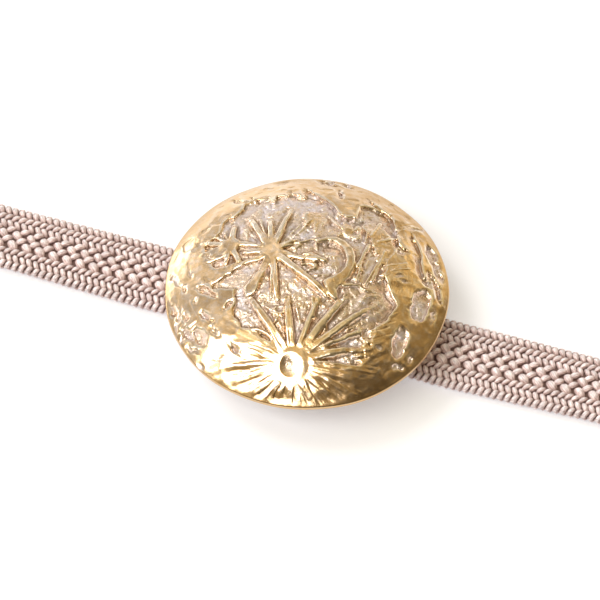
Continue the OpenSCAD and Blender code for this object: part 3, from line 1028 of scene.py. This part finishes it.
def fan(u, v, star, lines, reach, seed):
    """Scratches that fan out from a star, from -1 to 1, fading at its platform and at reach."""
    cu, cv, platform = STARS[star][:3]
    r = np.hypot(u - cu, v - cv)
    bearing = np.arctan2(v - cv, u - cu)
    near = lumps(bearing * lines, r * 0.22, 1.0, seed)
    fine = lumps(bearing * lines * 2.3, r * 0.35, 1.0, seed + 1)
    fade = smooth((r - platform * 0.8) / 1.2) * (1 - smooth((r - reach * 0.45) / (reach * 0.55)))
    return (near * 0.6 + fine * 0.4) * fade


def scratches(u, v, west):
    """All scratches round the three stars, in mm."""
    rays = 0.11 * fan(u, v, 2, 13, 14, 31) * (1 - 0.15 * west) + 0.06 * fan(u, v, 0, 14, 6, 33)
    rays *= 1 + 0.9 * smooth((u - 0.5) / 3) * smooth((-v - 7) / 4)
    return rays + 0.05 * fan(u, v, 1, 12, 4, 35)


def rough_ground(u, v):
    """Three layers of noise: the rough ground, the long swell and dents in the northern land."""
    wu, wv = shaken(u, v, (0.35, 1.1, 61, 62))
    ground = 0.09 * lumps(wu, wv, 1.3, 21) + 0.07 * lumps(wu, wv, 0.6, 22)
    ground += 0.06 * ridged(wu, wv, 0.9, 23)
    ground += 0.035 * ridged(wu, wv, 0.5, 30)
    ground += 0.040 * lumps(u, v, 0.27, 26)
    # West of the large star the ground is smooth
    ground *= 0.35 + 0.65 * smooth((np.hypot((u + 8.0) * 0.8, v + 1.5) - 1.2) / 1.2)
    swell = 0.12 * lumps(wu, wv, 2.8, 24) + 0.05 * lumps(wu, wv, 1.3, 25)
    swell += 0.04 * ridged(wu, wv, 1.9, 27)
    # The western land is calm
    swell *= 1 - 0.6 * smooth((-u - 7) / 4) * smooth((v + 9) / 3)
    dents = smooth((lumps(wu, wv, 1.0, 51) - 0.05) / 0.5)
    dents *= smooth((np.hypot(u, v) - 12.5) / 2) * smooth((v - 1) / 5)
    return ground, swell, dents


def brushing(u, v, south_east):
    """Fine strokes along the limb, stronger in the east, and slanting strokes in the south-east."""
    r = np.hypot(u, v)
    bearing = np.arctan2(v, u)
    strokes = lumps(r / 0.42, bearing * r / 2.2, 1.0, 28)
    strokes = strokes + 0.6 * lumps(r / 0.8, bearing * r / 3, 1.0, 29)
    east = smooth((u - 4) / 6)
    slanting = lumps((0.8 * u + 0.6 * v) / 3.2, (0.8 * v - 0.6 * u) / 0.42, 1.0, 55)
    return 0.035 * strokes * (0.25 + 0.75 * east), 0.055 * south_east * slanting


def wall_drop(u, v):
    """How far the ground drops at the foot of the steep walls."""
    drop = np.zeros_like(u)
    for high, reach, *line in WALLS:
        line = np.reshape(line, (-1, 2))
        nearest = np.full_like(u, 99.0)
        side = np.zeros_like(u)
        ends = np.minimum(*[np.hypot(u - p[0], v - p[1]) for p in (line[0], line[-1])])
        for a, b in zip(line[:-1], line[1:]):
            d, _ = to_line(u, v, a, b)
            left = (b[0] - a[0]) * (v - a[1]) - (b[1] - a[1]) * (u - a[0]) > 0
            side = np.where(d < nearest, np.where(left, 1.0, -1.0), side)
            nearest = np.minimum(nearest, d)
        below = nearest * side
        foot = smooth((below + 0.1) / 0.45) * bell(np.maximum(below, 0), reach)
        drop = np.maximum(drop, high * foot * smooth(ends / 0.5))
    return drop


def bowl_height(u, v):
    """The lip and the hollow of the southern crater, and how deep in its hollow a point is."""
    cu, cv, lip_r, depth, lip = BOWL
    d = np.hypot(u - cu, v - cv)
    hole = np.clip((lip_r - d) / lip_r, 0, 1) ** 0.9
    hole *= 0.3 + 0.7 * smooth((lip_r * 0.7 - (u - cu)) / (1.4 * lip_r))
    rim = lip * (0.6 + 0.4 * smooth((cu - u) / 2)) * bell(d - lip_r, 0.40)
    return rim - (depth + lip) * hole, hole


print("drop at the foot of a wall:", np.round(wall_drop(np.array([2.9]), np.array([9.7])), 2))


# %% The whole relief
def relief(u, v):
    """Height over the plain dome in mm and how deep in a pit, at u, v."""
    share = land_share(u, v)
    low = 1 - np.clip(share, 0, 1)
    south_east = bell(np.hypot(u - 7.8, v + 10.2), 3.4)
    west = smooth((-u - 1.5) / 3) * smooth((-v - 8) / 2)
    ground, swell, dents = rough_ground(u, v)
    rays = scratches(u, v, west)
    strokes, slanting = brushing(u, v, south_east)
    z = ground * (0.03 + 0.97 * low) + rays * (0.45 + 0.55 * low) + swell
    z += strokes - 0.08 * dents * (1 - low)
    z += slanting
    z -= GROUND_DEPTH * (1 - share) * (1 - 0.65 * south_east)
    raised, groove = streaks(u, v)
    off_star = smooth((np.hypot(u + 1.8, v + 13.4) - 1.9) / 0.8)
    z += RAY_HEIGHT * raised * (1 - low) * (1 - 0.2 * west) * off_star
    z -= GROOVE_DEPTH * groove * low * (1 - 0.10 * west)
    su, sv = shaken(u, v, (0.08, 0.9, 43, 44))
    for u0, v0, u1, v1, wide, high in LINES:
        d, t = to_line(su, sv, (u0, v0), (u1, v1))
        z += 0.5 * high * inside(d, wide * 0.7, 0.18) * smooth(t / 0.15) * smooth((1 - t) / 0.15)
    z -= wall_drop(u, v)
    sunk = np.zeros_like(u)
    wu, wv = shaken(u, v, (0.20, 0.9, 41, 42), (0.12, 0.45, 45, 46))
    for pit in PITS:
        d = to_oval(wu, wv, pit)
        hole = smooth((0.20 - d) / 0.5)
        z += 0.01 * bell(d - 0.3, 0.18) - 0.85 * pit[5] * hole
        sunk = np.maximum(sunk, hole)
    z += sunk * 1.2 * ground * (1 - low)
    for cu, cv, platform, slope, top, lean in STARS:
        away = np.hypot(u - cu, v - cv)
        level = smooth((platform + slope * 0.7 - away) / (slope * 1.7))
        crown = top * (1.4 - 0.5 * (away / platform) ** 2) + 0.03 * lumps(u, v, 1.1, 71)
        z = z * (1 - level) + level * (crown + lean * (cu - u) + 0.03 * rays / 0.11)
    bowl, hole = bowl_height(u, v)
    sunk = np.maximum(sunk, 0.35 * smooth(hole * 3))
    return (z + bowl) * smooth((RADIUS - np.hypot(u, v)) / 0.9), sunk


sample = relief(np.array([0.0, -10.0, -1.8]), np.array([0.0, -8.0, -13.4]))
print("heights on the sea, the land and in the bowl:", np.round(sample[0], 2))

# %% [markdown]
# The dome is built from rings of points, six more in each ring than in the one inside it. That
# spreads equal triangles over the face, where a grid of spokes would crowd them at the middle.
# The rings go on over the rounded edge, along the back face and into the hollow, so the piece
# is one closed casting.

# %% Rings of the medallion
DOME = 6.6
RIM_Z = 6.55
BACK_Z = 5.55
WALL = 1.8
EDGE_SLOPE = 0.5
BACK_FACE = 1.6
FRONT_RINGS = 164
HOLLOW_RINGS = 40
# The chart was drawn on a slightly flatter dome, so it is read a little further north
CHART_LIFT = 0.43
dome_r = (RADIUS**2 + DOME**2) / (2 * DOME)
dome_middle = RIM_Z + DOME - dome_r


def outline(angle):
    """Radius of the cast outline, a little wavy."""
    degrees = np.degrees(angle)
    wave = np.sin(np.radians(5 * degrees + 40)) + 0.6 * np.sin(np.radians(11 * degrees + 120))
    return RADIUS + 0.05 * wave


rings = []
facts = []


def add_ring(angle, r, z, sunk=0.0, rise=0.0):
    """Adds a ring of points in mm, with how deep in a pit they are and their relief."""
    rings.append(np.stack([r * np.cos(angle), r * np.sin(angle), z + 0 * angle], -1))
    facts.append(np.stack([sunk + 0 * angle, rise + 0 * angle], -1))


def ring_angles(count):
    return np.arange(count) * 2 * np.pi / count


for k in range(FRONT_RINGS + 1):
    angle = ring_angles(max(1, 6 * k))
    share = k / FRONT_RINGS
    plain = share * RADIUS
    v = plain * np.sin(angle)
    rise, sunk = relief(plain * np.cos(angle), v + CHART_LIFT * (1 - (v / RADIUS) ** 2))
    z = dome_middle + math.sqrt(dome_r**2 - plain**2) + rise
    add_ring(angle, share * outline(angle), z, sunk, rise)

# inset from the outline, height
EDGE = [[-0.03, RIM_Z - 0.12], [-0.03, RIM_Z - 0.38], [0.03, RIM_Z - 0.50], [EDGE_SLOPE, BACK_Z]]
for inset, z in EDGE:
    angle = ring_angles(6 * FRONT_RINGS // 2)
    add_ring(angle, outline(angle) - inset, z)
mouth = RADIUS - EDGE_SLOPE - BACK_FACE
angle = ring_angles(6 * HOLLOW_RINGS)
add_ring(angle, mouth, BACK_Z, rise=-1.0)
for k in range(HOLLOW_RINGS, -1, -1):
    angle = ring_angles(max(1, 6 * k))
    r = mouth * k / HOLLOW_RINGS
    u = r * np.cos(angle)
    v = r * np.sin(angle)
    cast_skin = 0.05 * lumps(u, v, 1.1, 51) + 0.03 * lumps(u, v, 0.5, 52)
    z = dome_middle + math.sqrt((dome_r - WALL) ** 2 - r**2)
    add_ring(angle, r, z + (cast_skin if k < HOLLOW_RINGS else 0), rise=-1.0)
print(len(rings), "rings")


# %% Stitch the rings into the medallion
def stitch(outer, inner, outer_start, inner_start, flip):
    """Triangles between a ring of outer points and one of as many or fewer inner points."""
    i = np.arange(outer)
    near = np.floor((np.arange(outer + 1) + 0.5) * inner / outer).astype(int) % inner
    first = np.stack([outer_start + (i + 1) % outer, outer_start + i, inner_start + near[i]], -1)
    before = near[(i + outer - 1) % outer]
    moved = (near[i] != before) & (inner > 1)
    second = np.stack([inner_start + before, inner_start + near[i], outer_start + i], -1)[moved]
    faces = np.concatenate([first, second])
    return faces[:, [1, 0, 2]] if flip else faces


starts = np.cumsum([0] + [len(r) for r in rings])
faces = []
for k in range(len(rings) - 1):
    here, there = len(rings[k]), len(rings[k + 1])
    if k < FRONT_RINGS:
        faces.append(stitch(there, here, starts[k + 1], starts[k], False))
    else:
        faces.append(stitch(here, there, starts[k], starts[k + 1], True))
faces = np.concatenate(faces)
x, y, z = np.concatenate(rings).T
placed = [x * math.cos(turn) - y * math.sin(turn), x * math.sin(turn) + y * math.cos(turn), z]
sunk, rise = np.concatenate(facts).T
# A crease is where the face lies lower than what is within a third of a millimetre of it
from_point = faces.ravel()
to_point = np.roll(faces, 1, axis=1).ravel()
level = rise
for _ in range(6):
    level = np.bincount(from_point, weights=level[to_point]) / np.bincount(from_point)
crease = level - rise
crease[starts[FRONT_RINGS] :] = 0
print("creases:", np.round(np.percentile(crease, [2, 10, 50, 90, 98]), 3))
medallion = make_mesh(
    "moon_medallion",
    np.stack(placed, -1) * MM,
    faces,
    {"sunk": sunk, "rise": rise, "crease": crease},
)
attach(medallion, "root")
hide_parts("medallion")
print(f"the medallion has {len(medallion.data.polygons)} triangles")

# %% [markdown]
# The high parts are polished to a warm gold. The low ground was left with a frosted, paler skin,
# pinkish and almost white in the light, which makes the rays stand out. The mesh carries each
# point's relief, so the finish turns frosted below a height that noise makes uneven, since
# nobody polishes exactly to a line. It also carries how far a point lies below what is close
# round it: creases are darkened brown, as painted shade with some patina, and the edges beside
# them are coloured paler. The far side, the far limb and the low edge all round are painted
# deeper in colour, as shade.

# %% Gold finish
BRIGHT_GOLD = (0.91, 0.645, 0.38)
# DEEP_GOLD serves random deeper patches and the painted shade on the far side
DEEP_GOLD = (0.73, 0.465, 0.215)
HAZY_GOLD = (0.92, 0.765, 0.63)
# Painted shade for the low edge all round and the far limb
EDGE_SHADE_GOLD = (0.60, 0.40, 0.20)
LIMB_SHADE_GOLD = (0.55, 0.345, 0.15)
FROSTED_GOLD = (0.99, 0.93, 1.0)
FROSTED_SHADE = (0.80, 0.655, 0.575)
# Painted shade in the creases, with some patina
PATINA_AND_CREASE_SHADE = (0.36, 0.24, 0.13)
# Paler colour for edges that stand above what is round them
PALE_RAISED_EDGE = (1.0, 0.90, 0.76)

gold = Finish("gilded_casting")
rise = gold.attribute("rise")
sunk = gold.attribute("sunk")
crease = gold.attribute("crease")
worn = gold.specks(0.7, 3.0)
frosting = gold.specks(0.18)
patches = gold.specks(2.4, rough=0.5)
clouds = gold.specks(1.0, 3.0)
wrinkles = gold.specks(0.42, rough=0.5)
low_ground = 1 - (rise + (worn - 0.5) * 0.30).within(-0.46, -0.10)
frost = low_ground * (0.35 + patches.within(0.35, 0.65) * 0.65) + sunk * (1 - low_ground) * 0.8
where = gold.place()
# Painted shade: the far side, the far limb and the low edge all round are darkened by where they
# lie
painted_far_shade = gold.along(where, (0.55, 0.83, 0.0)).within(0.002, 0.016)
painted_limb_shade = gold.along(where, (0.25, 0.97, 0.0)).within(0.010, 0.0165)
painted_edge_shade = 1 - gold.along(where, (0.0, 0.0, 1.0)).within(0.0062, 0.0080)
# Deeper gold in random patches, and as painted shade on the far side
deep = patches.within(0.4, 0.6) * 0.35 + painted_far_shade * 0.6
polished = gold.blend(deep, BRIGHT_GOLD, DEEP_GOLD)
polished = gold.blend(clouds.within(0.46, 0.62) * 0.5, polished, HAZY_GOLD)
polished = gold.blend(painted_edge_shade * 0.8, polished, EDGE_SHADE_GOLD)
polished = gold.blend(painted_limb_shade * 0.7, polished, LIMB_SHADE_GOLD)
mottle = (frosting * 0.5 + clouds * 0.5).within(0.40, 0.62)
skin = gold.blend(frost, polished, gold.blend(mottle * 0.85, FROSTED_GOLD, FROSTED_SHADE))
# Painted shade with some patina: brown where the face lies below what is round it
skin = gold.blend(crease.within(0.020, 0.080) * (1 - sunk * 0.85) * 0.55, skin, PATINA_AND_CREASE_SHADE)
# Edges that stand above what is round them are coloured paler
skin = gold.blend((crease * -1).within(0.012, 0.055) * 0.65, skin, PALE_RAISED_EDGE)
gold.feed(
    IOR=1.5,
    Metallic=1.0,
    Base_Color=skin,
    Roughness=0.20 + frost * 0.20 + (worn - 0.5) * 0.10,
    Normal=gold.bump(frosting * low_ground * 0.8 + wrinkles * (0.12 + low_ground * 1.3), 0.10),
)
medallion.data.materials.append(gold.material)
print("gold finish has", len(gold.tree.nodes), "nodes")

# %% [markdown]
# The plate and loops on the back are sheet metal in the same gold colour, brushed along their
# length rather than polished. Their solid is right as it is, so it only gets this finish.

# %% Brushed finish for the back fitting
brushed = Finish("brushed_fitting")
lengthwise = {"Vector": brushed.place(), "Scale": (0.06, 1.0, 1.0)}
strokes = brushed.specks(0.12, 3.0, where=brushed.node("ShaderNodeMapping", {}, lengthwise))
clouds = brushed.specks(2.5, 3.0, 0.5)
brushed.feed(
    IOR=1.5,
    Metallic=1.0,
    Base_Color=brushed.blend(clouds.within(0.3, 0.75), (0.84, 0.60, 0.32), (0.66, 0.44, 0.20)),
    Roughness=0.27 + strokes * 0.18,
    Normal=brushed.bump(strokes, 0.012, 0.6),
)
for node_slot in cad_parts["back_fitting"].material_slots:
    node_slot.material = brushed.material
print("back fitting brushed")

# %% [markdown]
# The piece lies on a white table in a bright room. A broad white panel stands at the left of the
# photographer and burns out in the lower left of the dome, and a low strip at the far left draws
# a thin light along its edge. The room is bright behind, uneven, and darker towards the right
# and front, which gives gold its brown tones: polished metal shows what it mirrors. The table
# is nearly white everywhere, so it gives off a little light of its own. Daylight from the back
# left is only for the dull surfaces, the silk and the table.

# %% Table
TABLE_HALF = 1.5
table_mesh = bpy.data.meshes.new("table")
corners = [(x * TABLE_HALF, y * TABLE_HALF, 0) for x, y in ((-1, -1), (1, -1), (1, 1), (-1, 1))]
table_mesh.from_pydata(corners, [], [(0, 1, 2, 3)])
table = add_object("table", table_mesh)
paper = Finish("white_table")
paper.feed(
    Base_Color=(0.72, 0.725, 0.75),
    Roughness=0.9,
    Specular_IOR_Level=0.1,
    Emission_Color=(0.98, 0.98, 1.0),
    Emission_Strength=0.33,
)
table_mesh.materials.append(paper.material)
print("table is", 2 * TABLE_HALF, "m wide")

# %% Panels of light
PANEL_DISTANCE = 0.6


def panel(name, direction, width, depth, strength, along):
    """A white panel of light; strength is its brightness as the metal mirrors it."""
    light = bpy.data.lights.new(name, "AREA")
    light.shape = "RECTANGLE"
    light.size = width
    light.size_y = depth
    light.energy = strength * math.pi * width * depth
    back = Vector(room_direction(*direction)).normalized()
    side = Vector(room_direction(*along))
    side = (side - back * side.dot(back)).normalized()
    turned = Matrix((side, back.cross(side), back)).transposed().to_4x4()
    turned.translation = back * PANEL_DISTANCE
    add_object(name, light).matrix_world = turned


panel("window_panel", (-0.445, -0.372, 0.8145), 0.715, 0.22, 5.0, (0.82, -0.49, 0.30))
panel("window_strip", (-0.76, 0.62, 0.04), 0.36, 0.08, 3.5, (0.62, 0.76, 0.0))
print("two panels of light")

# %% Room
# The colour of the walls from the dark side of the room to the bright side
WALL_TONES = [
    (0.0, (0.16, 0.13, 0.08)),
    (0.19, (0.395, 0.312, 0.170)),
    (0.375, (0.55, 0.455, 0.250)),
    (0.52, (0.61, 0.54, 0.365)),
    (0.70, (0.67, 0.625, 0.53)),
    (0.90, (0.73, 0.71, 0.68)),
    (1.0, (0.72, 0.71, 0.70)),
]
# How bright the room is where its noise has these values
BRIGHTNESS = [(0.36, 0.5), (0.50, 1.0), (0.57, 1.2), (0.64, 2.1)]
SEEN_WHITE = (0.93, 0.93, 0.93)

world = bpy.data.worlds.new("room")
bpy.context.scene.world = world
world.use_nodes = True
room = Nodes(world.node_tree)
towards_light = room_direction(-0.38, 0.50, 0.0)
looking = room.place("Generated")
bright_side = room.along(looking, tuple(towards_light)).within(-0.44, 0.60, "LINEAR")
seen = room.node("ShaderNodeLightPath", {}, {}, "Is Camera Ray")
background = room.tree.nodes["Background"]
shown = room.blend(seen, room.ramp(bright_side, WALL_TONES), SEEN_WHITE)
room.link(shown, background.inputs["Color"])
uneven = room.ramp(room.noise(looking, 3.6), [(at, (value,) * 3) for at, value in BRIGHTNESS])
room.link(uneven, background.inputs["Strength"])
bpy.context.scene.view_settings.view_transform = "Standard"
print("the room is brightest towards", np.round(towards_light, 2))

# %% Daylight on the cord and the table
sun = add_object("daylight", bpy.data.lights.new("daylight", "SUN"))
sun.data.energy = 0.95
sun.data.angle = math.radians(22)
sun.data.color = (1.0, 0.97, 0.96)
aimed(sun, room_direction(-0.52, 0.30, 0.80), (0, 0, 0))
# The metal mirrors the room and the panels; this light is only for the dull surfaces
sun.visible_glossy = False
print("daylight from the back left")
